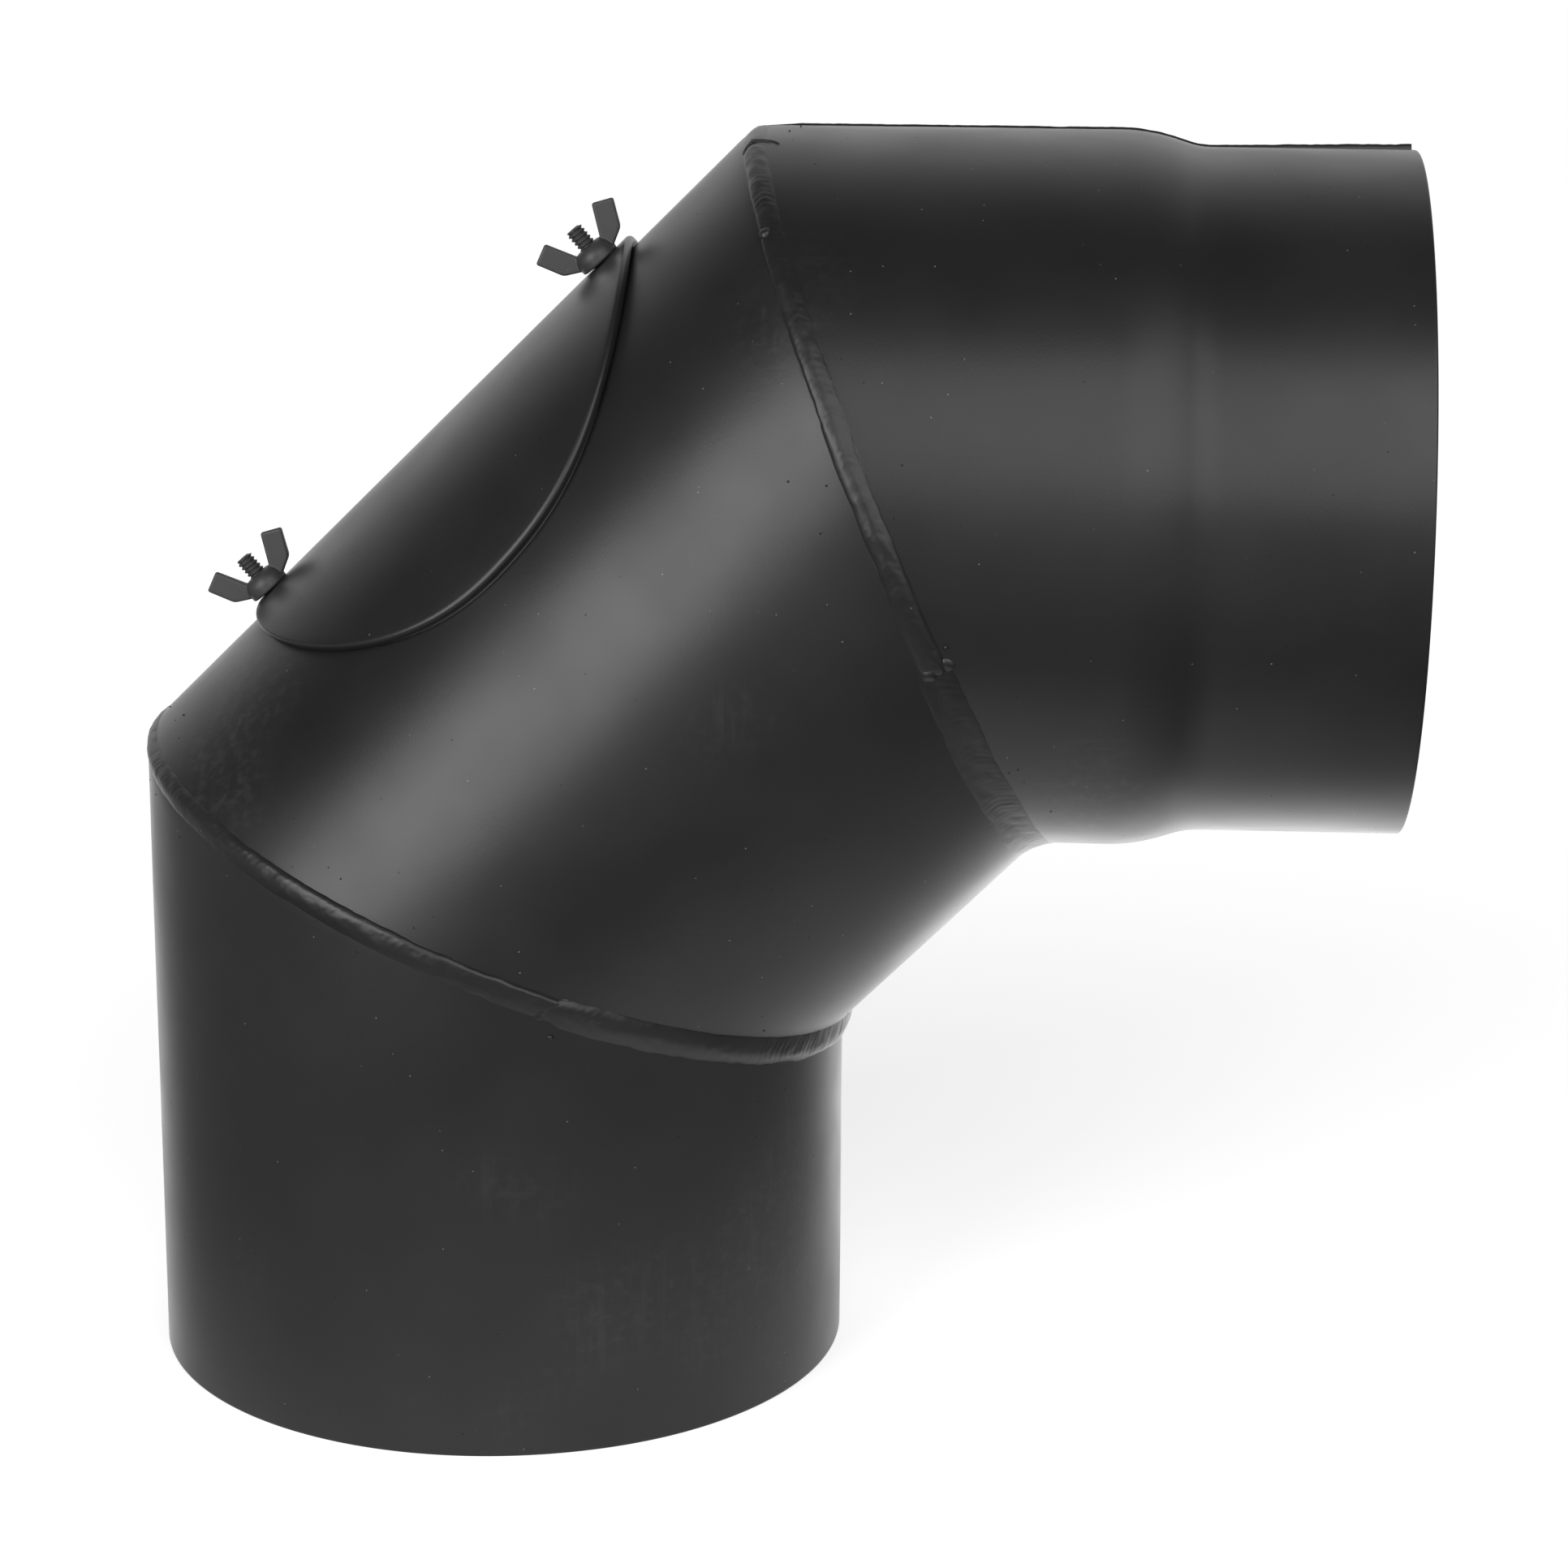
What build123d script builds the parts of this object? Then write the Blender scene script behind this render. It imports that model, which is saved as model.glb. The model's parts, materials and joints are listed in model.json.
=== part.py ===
from build123d import *
import os
from math import atan, cos, degrees, radians, sin, tan

# Smoke pipe elbow, mitred from three pieces of rolled pipe, with a cleanout cover on its heel.
# Millimetres and degrees. The origin is the centre of the socket rim, +Z goes up the socket,
# +X points out of the spigot, and the front is -Y. The heel is the outside of the bend,
# and the throat is its inside.

# Pipe
bore_diameter = 150.0       # inside of the pipe, the size that it is sold by
wall = 2.0
bend_angle = 90.0           # shared equally by the two mitres
lower_length = 108.6        # socket rim to lower mitre, along the axis
middle_length = 125.0       # lower mitre to upper mitre
outlet_length = 109.0       # upper mitre to spigot rim
rim_round = 0.4             # broken edges of the two open rims

# Spigot, which goes inside the next pipe
spigot_clearance = 1.5      # room all round in the next pipe's bore
spigot_length = 43.0        # straight part
taper_shoulder = 13.6       # smooth step down: length of the arc that leaves the pipe
taper_foot = 6.4            # and of the arc that meets the spigot

# Weld beads round the mitres: a round section, sunk so that only its crown shows
bead_radius = 4.5
bead_rise_side = 1.1        # crown above the wall at the bend's two sides
bead_rise_heel = 0.6        # crown above the ridge on the heel
bead_rise_throat = 2.0      # crown above the valley in the throat

# Lengthwise seam of each piece of rolled pipe
seam_radius = 2.2
seam_rise = 0.8
seam_rise_spigot = 0.3      # pressed flatter, so that the next pipe slides over it
seam_turn = 9.0             # round the pipe towards the back, from the heel or throat line
seam_turn_spigot = 11.5
seam_setback = 0.5          # short of an open rim
seam_trim = 1.4             # short of a mitre plane, where the bead covers its end

# Cleanout opening, cover and gasket, as seen square on to the heel of the middle piece
opening_diameter = 88.0
cover_length = 118.6        # along the pipe
cover_width = 119.8         # from front to back
cover_corner_round = 54.0   # nearly a disc
cover_shift = 0.5           # along the middle piece towards the spigot
cover_thickness = 2.0
cover_edge_round = 0.4
gasket_thickness = 0.4
gasket_seat = 0.1           # left between gasket and pipe, and between gasket and cover
gasket_inset = 1.5          # from the cover's edge
gasket_lap = 3.0            # from the opening's edge

# Studs
stud_diameter = 4.0
stud_spacing = 104.0
stud_shift = -1.6           # of the pair, along the middle piece towards the spigot
stud_height = 11.9          # tip above the pipe wall
stud_lean = 3.6             # towards the spigot
stud_tip_chamfer = 0.4
stud_hole_room = 0.4        # round the stud in cover and gasket

# Wing nuts, with heights from their seat
nut_thread_room = 0.06      # round the stud in the nut
nut_seat = 0.1              # left between nut and cover
hub_diameter = 9.2
hub_top_diameter = 5.6
hub_height = 4.2
hub_shoulder = 1.2          # straight foot of the hub
wing_thickness = 2.0
wing_root_height = 0.4      # where the lower edges leave the hub
wing_elbow_span = 16.0      # where the lower edges bend up
wing_elbow_height = 2.5
wing_tip_span = 22.0        # outer corners
wing_tip_height = 8.3
wing_peak_span = 13.6       # inner corners
wing_peak_height = 10.3
wing_valley_span = 6.2      # where the inner edges meet the hub's top
wing_elbow_round = 2.4
wing_corner_round = 0.6
wing_edge_round = 0.35

# Sizes that follow from those
bore_r = bore_diameter / 2
pipe_r = bore_r + wall
spigot_r = bore_r - spigot_clearance
gasket_in_r = pipe_r + gasket_seat
gasket_out_r = gasket_in_r + gasket_thickness
cover_in_r = gasket_out_r + gasket_seat
cover_out_r = cover_in_r + cover_thickness
stud_r = stud_diameter / 2
taper_length = taper_shoulder + taper_foot
turn = bend_angle / 2
beyond = lower_length + middle_length + outlet_length + bore_diameter   # longer than any piece


def heading(angle):
    """Unit vector in the plane of the bend, turned from straight up towards the spigot."""
    return Vector(sin(radians(angle)), 0, cos(radians(angle)))


def frame_at(origin, angle):
    """Frame with Z along a heading, X to the heel and Y to the front."""
    return Plane(origin, x_dir=heading(angle - 90), z_dir=heading(angle))


# Frames of the three pieces and of the two mitre planes between them
lower_mitre = heading(0) * lower_length
upper_mitre = lower_mitre + heading(turn) * middle_length
lower_frame = frame_at((0, 0, 0), 0)
lower_cut = frame_at(lower_mitre, turn / 2)
middle_frame = frame_at(lower_mitre, turn)
upper_cut = frame_at(upper_mitre, 1.5 * turn)
outlet_frame = frame_at(upper_mitre, bend_angle)

# Frame of the cleanout: Z square out of the heel, X along the middle piece towards the spigot
cleanout_frame = Plane(
    lower_mitre + heading(turn) * (middle_length / 2), x_dir=heading(turn), z_dir=heading(turn - 90)
)


def stud_frame(side):
    """Frame of a stud on the pipe wall, with Z along the stud."""
    foot = cleanout_frame.from_local_coords(Vector(stud_shift + side * stud_spacing / 2, 0, pipe_r))
    return Plane(foot, x_dir=heading(turn + stud_lean), z_dir=heading(turn - 90 + stud_lean))


stud_frames = {"lower": stud_frame(-1), "upper": stud_frame(1)}


def rod(frame, radius, start, end):
    """Cylinder along a frame's Z."""
    return frame * Pos(0, 0, (start + end) / 2) * Cylinder(radius, end - start)


def below(solid, plane):
    return split(solid, bisect_by=plane, keep=Keep.BOTTOM)


def above(solid, plane):
    return split(solid, bisect_by=plane, keep=Keep.TOP)


def stepped_line(pipe_side, spigot_side, end):
    """Line along the spigot piece, as radius and height: straight, two tangent arcs inwards, straight."""
    step_turn = 2 * degrees(atan((pipe_side - spigot_side) / taper_length))
    shoulder = Vector(pipe_side, outlet_length - spigot_length - taper_length)
    first = JernArc(shoulder, (0, 1), taper_shoulder / sin(radians(step_turn)), step_turn)
    second = JernArc(first @ 1, first % 1, taper_foot / sin(radians(step_turn)), -step_turn)
    return [Line((pipe_side, -pipe_r), shoulder), first, second, Line(second @ 1, (spigot_side, end))]


def stepped_solid(pipe_side, spigot_side, end):
    """Solid of revolution inside a stepped line."""
    lines = stepped_line(pipe_side, spigot_side, end)
    foot = Line((0, -pipe_r), (pipe_side, -pipe_r))
    head = Line((spigot_side, end), (0, end))
    axis = Line((0, end), (0, -pipe_r))
    profile = make_face([foot, *lines, head, axis])
    return outlet_frame * revolve(Plane.XZ * profile, Axis.Z)


# The three pieces as filled outlines
lower_fill = below(rod(lower_frame, pipe_r, 0, beyond), lower_cut)
middle_fill = above(below(rod(middle_frame, pipe_r, -beyond, beyond), upper_cut), lower_cut)
outlet_fill = above(stepped_solid(pipe_r, spigot_r, outlet_length), upper_cut)
elbow_fill = lower_fill + middle_fill + outlet_fill


def with_broken_rim(tube, frame, height):
    """Round both edges of the open rim that lies across a frame's Z at a height."""
    rim = [e for e in tube.edges() if abs(frame.to_local_coords(e.center()).Z - height) < rim_round]
    return fillet(rim, rim_round)


def make_lower_segment():
    tube = lower_fill - rod(lower_frame, bore_r, -wall, beyond)
    return with_broken_rim(tube, lower_frame, 0)


def make_middle_segment():
    tube = middle_fill - rod(middle_frame, bore_r, -beyond, beyond)
    return tube - rod(cleanout_frame, opening_diameter / 2, 0, pipe_r + wall)


def make_spigot_segment():
    tube = outlet_fill - stepped_solid(bore_r, spigot_r - wall, outlet_length + wall)
    return with_broken_rim(tube, outlet_frame, outlet_length)


def make_weld(cut):
    """Bead round a mitre. Its centre line is an ellipse, sunk less in the throat than on the heel."""
    half_mitre = pipe_r / cos(radians(turn / 2))
    to_heel = half_mitre + bead_rise_heel - bead_radius
    to_throat = half_mitre + bead_rise_throat - bead_radius
    to_side = pipe_r + bead_rise_side - bead_radius
    centre = cut.from_local_coords(Vector((to_heel - to_throat) / 2, 0, 0))
    ring = Plane(centre, x_dir=cut.x_dir, z_dir=cut.z_dir)
    path = Edge.make_ellipse((to_heel + to_throat) / 2, to_side, ring)
    section = Plane(path @ 0, z_dir=path % 0) * Circle(bead_radius)
    return sweep(section, path) - elbow_fill


def make_seam(frame, around, lines):
    """Bead along one piece of pipe, on lines given as radius and height, turned round from the heel."""
    outward = frame.x_dir.rotate(Axis(frame.origin, frame.z_dir), around)
    upright = Plane(frame.origin, x_dir=outward, z_dir=outward.cross(frame.z_dir))
    path = Wire([upright * line for line in lines])
    section = Plane(path @ 0, z_dir=path % 0) * Circle(seam_radius)
    return sweep(section, path) - elbow_fill - welds["lower"] - welds["upper"]


def make_lower_seam():
    radius = pipe_r + seam_rise - seam_radius
    bead = make_seam(lower_frame, -seam_turn, [Line((radius, seam_setback), (radius, beyond))])
    return below(bead, lower_cut.offset(-seam_trim))


def make_middle_seam():
    radius = pipe_r + seam_rise - seam_radius
    bead = make_seam(middle_frame, 180 + seam_turn, [Line((radius, -beyond), (radius, beyond))])
    return above(below(bead, upper_cut.offset(-seam_trim)), lower_cut.offset(seam_trim))


def make_spigot_seam():
    on_pipe = pipe_r + seam_rise - seam_radius
    on_spigot = spigot_r + seam_rise_spigot - seam_radius
    lines = stepped_line(on_pipe, on_spigot, outlet_length - seam_setback)
    return above(make_seam(outlet_frame, -seam_turn_spigot, lines), upper_cut.offset(seam_trim))


def make_stud(frame):
    rod_up = Pos(0, 0, stud_height / 2) * Cylinder(stud_r, stud_height + 2 * stud_diameter)
    rod_up = below(rod_up, Plane.XY.offset(stud_height))
    rod_up = chamfer(rod_up.edges().group_by(Axis.Z)[-1], stud_tip_chamfer)
    return frame * rod_up - middle_fill


def cover_outline(inset):
    """Outline that is nearly round, set in from the cover's edge."""
    length = cover_length - 2 * inset
    width = cover_width - 2 * inset
    return Pos(cover_shift, 0) * RectangleRounded(length, width, cover_corner_round - inset)


def curved_plate(inner_r, outer_r, outline):
    """Sheet rolled round the middle piece between two radii, with edges square to the sheet.

    The outline is that of its outer face, seen square on to the heel.
    """
    # The rod's own seam line goes to the throat, so that it doesn't part the outer face
    seam_away = Plane(middle_frame.origin, x_dir=-middle_frame.x_dir, z_dir=middle_frame.z_dir)
    core = rod(seam_away, outer_r, -beyond, beyond) & extrude(cleanout_frame * outline, 2 * pipe_r)
    outward = Axis(cleanout_frame.origin, cleanout_frame.z_dir)
    return thicken(core.faces().sort_by(outward)[-1], inner_r - outer_r)


def with_stud_holes(plate):
    for frame in stud_frames.values():
        plate = plate - rod(frame, stud_r + stud_hole_room, -stud_height, stud_height)
    return plate


def make_cover():
    plate = curved_plate(cover_in_r, cover_out_r, cover_outline(0))
    outer_face = plate.faces().sort_by(SortBy.AREA)[-1]
    return with_stud_holes(fillet(outer_face.edges(), cover_edge_round))


def make_gasket():
    sheet = curved_plate(gasket_in_r, gasket_out_r, cover_outline(gasket_inset))
    sheet = sheet - rod(cleanout_frame, opening_diameter / 2 + gasket_lap, 0, cover_out_r)
    return with_stud_holes(sheet)


def wing_outline():
    """Both wings as one outline: roots, elbows, outer corners, inner corners and valleys."""
    right = [
        (hub_diameter / 2, wing_root_height, 0),
        (wing_elbow_span / 2, wing_elbow_height, wing_elbow_round),
        (wing_tip_span / 2, wing_tip_height, wing_corner_round),
        (wing_peak_span / 2, wing_peak_height, wing_corner_round),
        (wing_valley_span / 2, hub_height, wing_corner_round),
    ]
    left = [(-x, z, radius) for x, z, radius in reversed(right)]
    points = [(x, z) for x, z, radius in right + left]
    radii = [radius for x, z, radius in right + left]
    return make_face(FilletPolyline(*points, radius=radii, close=True))


def make_wing_nut(frame):
    hub_r = hub_diameter / 2
    top_r = hub_top_diameter / 2
    foot = Polyline((top_r, hub_height), (0, hub_height), (0, 0), (hub_r, 0), (hub_r, hub_shoulder))
    dome = TangentArc((hub_r, hub_shoulder), (top_r, hub_height), tangent=(0, 1))
    hub = revolve(Plane.XZ * make_face((foot + dome).edges()), Axis.Z)
    wings = extrude(Plane.XZ * wing_outline(), wing_thickness / 2, both=True)
    faces = wings.faces().sort_by(Axis.Y)
    wings = fillet(faces[0].edges() + faces[-1].edges(), wing_edge_round)
    nut = hub + wings - rod(Plane.XY, stud_r + nut_thread_room, -stud_height, stud_height)
    lean = radians(stud_lean)
    seat = (cover_out_r - pipe_r) / cos(lean) + hub_r * tan(lean) + nut_seat
    return frame * Pos(0, 0, seat) * nut


welds = {"lower": make_weld(lower_cut), "upper": make_weld(upper_cut)}

nodes = {
    "lower_segment": make_lower_segment(),
    "middle_segment": make_middle_segment(),
    "spigot_segment": make_spigot_segment(),
    "weld_lower": welds["lower"],
    "weld_upper": welds["upper"],
    "seam_lower": make_lower_seam(),
    "seam_middle": make_middle_seam(),
    "seam_spigot": make_spigot_seam(),
    "cleanout_cover": make_cover(),
    "cover_gasket": make_gasket(),
}
for place, frame in stud_frames.items():
    nodes["stud_" + place] = make_stud(frame)
    nodes["wing_nut_" + place] = make_wing_nut(frame)

os.makedirs("parts", exist_ok=True)
for name, solid in nodes.items():
    export_step(solid, "parts/" + name + ".step")
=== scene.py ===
import json
import math
import random

import bmesh
import bpy
from mathutils import Matrix, Vector, noise


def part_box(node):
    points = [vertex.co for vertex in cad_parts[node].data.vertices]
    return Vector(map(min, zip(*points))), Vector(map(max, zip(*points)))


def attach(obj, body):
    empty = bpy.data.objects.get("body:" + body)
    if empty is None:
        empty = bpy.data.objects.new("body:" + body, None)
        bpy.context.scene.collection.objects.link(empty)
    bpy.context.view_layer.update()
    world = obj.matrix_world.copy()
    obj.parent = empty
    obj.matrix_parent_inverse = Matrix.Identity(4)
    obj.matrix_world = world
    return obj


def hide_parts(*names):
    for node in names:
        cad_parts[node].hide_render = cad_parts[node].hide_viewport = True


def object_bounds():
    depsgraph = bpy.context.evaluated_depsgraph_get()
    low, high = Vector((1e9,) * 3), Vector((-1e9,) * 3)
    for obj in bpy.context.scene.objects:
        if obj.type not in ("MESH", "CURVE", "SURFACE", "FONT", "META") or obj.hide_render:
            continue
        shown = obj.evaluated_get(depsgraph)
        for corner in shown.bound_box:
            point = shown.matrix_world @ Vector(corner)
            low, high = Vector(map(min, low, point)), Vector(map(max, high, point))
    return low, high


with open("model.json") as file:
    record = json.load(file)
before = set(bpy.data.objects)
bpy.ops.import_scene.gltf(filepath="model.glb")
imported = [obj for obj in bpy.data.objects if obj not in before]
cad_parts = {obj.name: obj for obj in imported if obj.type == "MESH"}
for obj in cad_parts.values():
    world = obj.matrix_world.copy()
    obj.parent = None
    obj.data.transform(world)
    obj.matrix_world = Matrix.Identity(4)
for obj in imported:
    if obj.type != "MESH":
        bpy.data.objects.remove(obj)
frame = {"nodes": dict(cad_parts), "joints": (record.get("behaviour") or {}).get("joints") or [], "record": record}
cad_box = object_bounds()

# Sizes in metres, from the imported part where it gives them
mm = 0.001
mounts = {m["name"]: m for m in frame["record"]["mounts"]}
joints = {j["name"]: j for j in frame["joints"]}
front = Vector((0, -1, 0))
half_mitre = math.radians(22.5)
mitre_slope = math.tan(half_mitre)

lower_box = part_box("lower_segment")
spigot_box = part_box("spigot_segment")
pipe_r = lower_box[1].y
bore_r = mounts["inlet_socket"]["dims"]["r_mm"] * mm
spigot_r = mounts["outlet_spigot"]["dims"]["r_mm"] * mm
wall = pipe_r - bore_r
lower_length = lower_box[1].z - pipe_r * mitre_slope
lower_mitre = Vector((0, 0, lower_length))
upper_mitre = Vector((spigot_box[0].x + pipe_r * mitre_slope, 0, (spigot_box[0].z + spigot_box[1].z) / 2))
middle_length = (upper_mitre - lower_mitre).length
outlet_length = spigot_box[1].x - upper_mitre.x
straight_length = mounts["outlet_spigot"]["dims"]["length_mm"] * mm


class Run:
    """Axis of one piece of pipe: where it starts, which way it goes and which way its heel lies."""

    def __init__(self, origin, along, heel):
        self.origin = origin
        self.along = along
        self.heel = heel

    def out(self, angle):
        """Outward direction at an angle from the heel towards the front."""
        return self.heel * math.cos(angle) + front * math.sin(angle)

    def at(self, t, r, angle):
        """Point at a distance along, at a radius and at an angle from the heel towards the front."""
        return self.origin + self.along * t + self.out(angle) * r


slant = (upper_mitre - lower_mitre).normalized()
slant_heel = Vector((-slant.z, 0, slant.x))
lower_run = Run(Vector((0, 0, 0)), Vector((0, 0, 1)), Vector((-1, 0, 0)))
middle_run = Run(lower_mitre, slant, slant_heel)
outlet_run = Run(upper_mitre, Vector((1, 0, 0)), Vector((0, 0, 1)))
cleanout = lower_mitre + slant * (middle_length / 2)


def reach(node, direction, origin):
    """How far a node goes from a point, in a direction."""
    return max((v.co - origin).dot(direction) for v in frame["nodes"][node].data.vertices)


# The photo's cover is cut a little smaller than the solid, and not quite true
cover_out_r = reach("cleanout_cover", slant_heel, cleanout)
cover_ends = reach("cleanout_cover", slant, cleanout), reach("cleanout_cover", -slant, cleanout)
cover_trim = 1.3 * mm
cover_half_length = (cover_ends[0] + cover_ends[1]) / 2 - cover_trim
cover_half_width = 57.6 * mm
cover_squareness = 2.28        # 2 is an oval, more is squarer
cover_twist = math.radians(-2.8)
cover_shift = (cover_ends[0] - cover_ends[1]) / 2
cover_aside = 2.0 * mm         # towards the front
cover_thickness = 2.0 * mm
cover_in_r = cover_out_r - cover_thickness
cover_edge = 0.9 * mm          # rounding of its outer edge
cover_inner_edge = 0.3 * mm
opening_r = 44.0 * mm

seat_gap = 0.1 * mm            # between pipe, gasket and cover
gasket_inset = 1.5 * mm        # from the cover's outline
gasket_edge = 0.1 * mm
gasket_opening_r = opening_r + 3 * mm

stud_r = 2.0 * mm
stud_hole_r = stud_r + 0.4 * mm
stud_axis = Vector(joints["cover_lift"]["axis"])
stud_feet = {side: Vector(joints["nut_" + side + "_turn"]["pos_m"]) for side in ("lower", "upper")}


# Mesh helpers

hard_edge = 35                 # degrees between faces, above which their edge stays sharp


def spread(start, end, count):
    """Evenly spaced values, both ends included."""
    return [start + (end - start) * i / (count - 1) for i in range(count)]


def smooth(mesh, sharp):
    """Smooth shading with hard edges where faces meet at more than an angle in degrees."""
    mesh.shade_smooth()
    mesh.set_sharp_from_angle(angle=math.radians(sharp))


def new_piece(name, verts, faces, sharp=hard_edge):
    """Object with all its faces turned outward."""
    mesh = bpy.data.meshes.new(name)
    mesh.from_pydata(verts, [], faces)
    bm = bmesh.new()
    bm.from_mesh(mesh)
    bmesh.ops.recalc_face_normals(bm, faces=bm.faces)
    bm.to_mesh(mesh)
    bm.free()
    smooth(mesh, sharp)
    piece = bpy.data.objects.new(name, mesh)
    bpy.context.scene.collection.objects.link(piece)
    return piece


def loft(lines, closed_lines=True, closed_round=True):
    """Vertices and quads between neighbouring lines of points."""
    verts = [p for line in lines for p in line]
    size = len(lines[0])
    count = len(lines)
    faces = []
    for i in range(count if closed_round else count - 1):
        a = i * size
        b = (i + 1) % count * size
        for j in range(size if closed_lines else size - 1):
            k = (j + 1) % size
            faces.append((a + j, b + j, b + k, a + k))
    return verts, faces


def skin_over(lines, whole_turn):
    """Closed skin over sections: joined end to end, or capped at both ends."""
    verts, faces = loft(lines, closed_round=whole_turn)
    if not whole_turn:
        size = len(lines[0])
        faces.append(tuple(reversed(range(size))))
        faces.append(tuple(range(len(verts) - size, len(verts))))
    return verts, faces


def settle(piece):
    """Turn a piece's modifiers into its mesh."""
    graph = bpy.context.evaluated_depsgraph_get()
    mesh = bpy.data.meshes.new_from_object(piece.evaluated_get(graph))
    piece.modifiers.clear()
    old = piece.data
    piece.data = mesh
    mesh.name = piece.name
    bpy.data.meshes.remove(old)


def combine(piece, other, operation):
    """Join a solid to a piece or take it out of the piece, and take the solid out of the scene."""
    modifier = piece.modifiers.new("combine", "BOOLEAN")
    modifier.operation = operation
    modifier.solver = "EXACT"
    modifier.object = other
    settle(piece)
    bpy.data.objects.remove(other)
    smooth(piece.data, hard_edge)


def cut_round(piece, a, b, radius, steps):
    """Drill a piece from one point to another."""
    axis = (b - a).normalized()
    x = axis.orthogonal().normalized()
    y = axis.cross(x)
    rings = []
    for end in (a, b):
        turns = [2 * math.pi * i / steps for i in range(steps)]
        rings.append([end + (x * math.cos(w) + y * math.sin(w)) * radius for w in turns])
    verts = rings[0] + rings[1]
    faces = [(i, (i + 1) % steps, steps + (i + 1) % steps, steps + i) for i in range(steps)]
    faces += [tuple(reversed(range(steps))), tuple(range(steps, 2 * steps))]
    combine(piece, new_piece("cutter", verts, faces), "DIFFERENCE")


def finish_piece(piece, node, body, material):
    """Give a piece its paint and put it in the place of its solid."""
    piece.data.materials.clear()
    piece.data.materials.append(material)
    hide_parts(node)
    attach(piece, body)


# Pipe segments

around = 320                   # steps round a pipe
rim_round = 0.4 * mm
sheet_wave = 0.07 * mm         # unevenness of the rolled sheet
sheet_wave_size = 38 * mm
melt_depth = 0.6 * mm          # by which the welds have drawn in the sharp edges along the heel
melt_reach = 4 * mm
taper_length = 20 * mm
taper_turn = 0.68              # share of the taper where its two arcs meet
taper_start = outlet_length - rim_round - straight_length - taper_length
taper_room = 2 * mm            # stretch before and after the taper that has its fine steps

# Points along the walls, inside and outside, and for the outlet before, over and after its taper
lower_points = 24, 70
middle_points = 40, 90
outlet_points = (14, 26, 10), (40, 26, 24)


def mitre_gap(angle):
    """How far the end of a pipe at a mitre lies beyond its middle, at an angle from the heel."""
    return pipe_r * math.cos(angle) * mitre_slope


def melted(away, c):
    """How far the edge along the heel is drawn in, at a distance from it; c is the angle's cosine."""
    return melt_depth * max(1 - away / melt_reach, 0) ** 2 * max(c, 0)


def rim_arc(t, r_out, r_in, way):
    """Rounded rim from the outer to the inner wall, at the end t of a pipe that lies the given way."""
    points = []
    for centre_r, start in ((r_out - rim_round, 0), (r_in + rim_round, math.pi / 2)):
        for a in spread(start, start + math.pi / 2, 4):
            points.append((t + way * rim_round * (1 - math.sin(a)), centre_r + rim_round * math.cos(a)))
    return points


def lower_section(c):
    """Wall at one angle from the heel, as distances and radii; c is the angle's cosine."""
    outer_end = lower_length + (pipe_r - melted(0, c)) * c * mitre_slope
    inner_end = lower_length + bore_r * c * mitre_slope
    inner = [(t, bore_r) for t in spread(rim_round * 2, inner_end, lower_points[0])]
    outer = spread(outer_end, rim_round * 2, lower_points[1])
    outer = [(t, pipe_r - melted(outer_end - t, c)) for t in outer]
    return inner + outer + rim_arc(0, pipe_r, bore_r, 1)


def middle_section(c):
    """Wall of the middle piece, which has a mitre at both ends."""
    rise = mitre_slope * c
    edge = (pipe_r - melted(0, c)) * rise
    inner = spread(-bore_r * rise, middle_length + bore_r * rise, middle_points[0])
    outer = spread(middle_length + edge, -edge, middle_points[1])
    outer = [(t, pipe_r - melted(min(middle_length + edge - t, t + edge), c)) for t in outer]
    return [(t, bore_r) for t in inner] + outer


def step_in(t, r_pipe, r_spigot):
    """Radius of the outlet's wall: the pipe, two arcs that step in, the spigot."""
    f = min(max((t - taper_start) / taper_length, 0), 1)
    share = f * f / taper_turn if f < taper_turn else 1 - (1 - f) ** 2 / (1 - taper_turn)
    return r_pipe + (r_spigot - r_pipe) * share


def outlet_section(c):
    """Wall of the outlet, from its mitre over its taper to the rim of the spigot and back."""
    rise = mitre_slope * c
    edge = (pipe_r - melted(0, c)) * rise
    start = taper_start - taper_room
    end = taper_start + taper_length + taper_room
    last = outlet_length - rim_round * 2

    def places(first, counts):
        before = spread(first, start, counts[0])[:-1]
        return before + spread(start, end, counts[1]) + spread(end, last, counts[2])[1:]

    inner = places(-bore_r * rise, outlet_points[0])
    outer = places(-edge, outlet_points[1])
    inner = [(t, step_in(t, bore_r, spigot_r - wall)) for t in reversed(inner)]
    outer = [(t, step_in(t, pipe_r, spigot_r) - melted(t + edge, c)) for t in outer]
    return outer + rim_arc(outlet_length, spigot_r, spigot_r - wall, -1) + inner


def make_tube(name, run, section):
    """Pipe with its wall's section at every angle, slightly uneven."""
    lines = []
    for i in range(around):
        angle = 2 * math.pi * i / around
        line = []
        for t, r in section(math.cos(angle)):
            point = run.at(t, r, angle)
            line.append(point + run.out(angle) * (noise.noise(point / sheet_wave_size) * sheet_wave))
        lines.append(line)
    return new_piece(name, *loft(lines))


# Cleanout opening, cover and gasket

outline_steps = 240
sheet_rings = 40               # from the middle to the edge, on each face
sheet_middle = 0.02            # share of the way out where the rings begin
opening_cut = 30 * mm, 100 * mm     # reach of the cutter from the pipe's axis
stud_hole_cut = 10 * mm             # reach of the cutter to both sides


def cover_reach(turn, inset):
    """Distance from the middle of the cover to its outline, at an angle from its length."""
    x = abs(math.cos(turn)) / (cover_half_length - inset)
    y = abs(math.sin(turn)) / (cover_half_width - inset)
    return (x ** cover_squareness + y ** cover_squareness) ** (-1 / cover_squareness)


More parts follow.
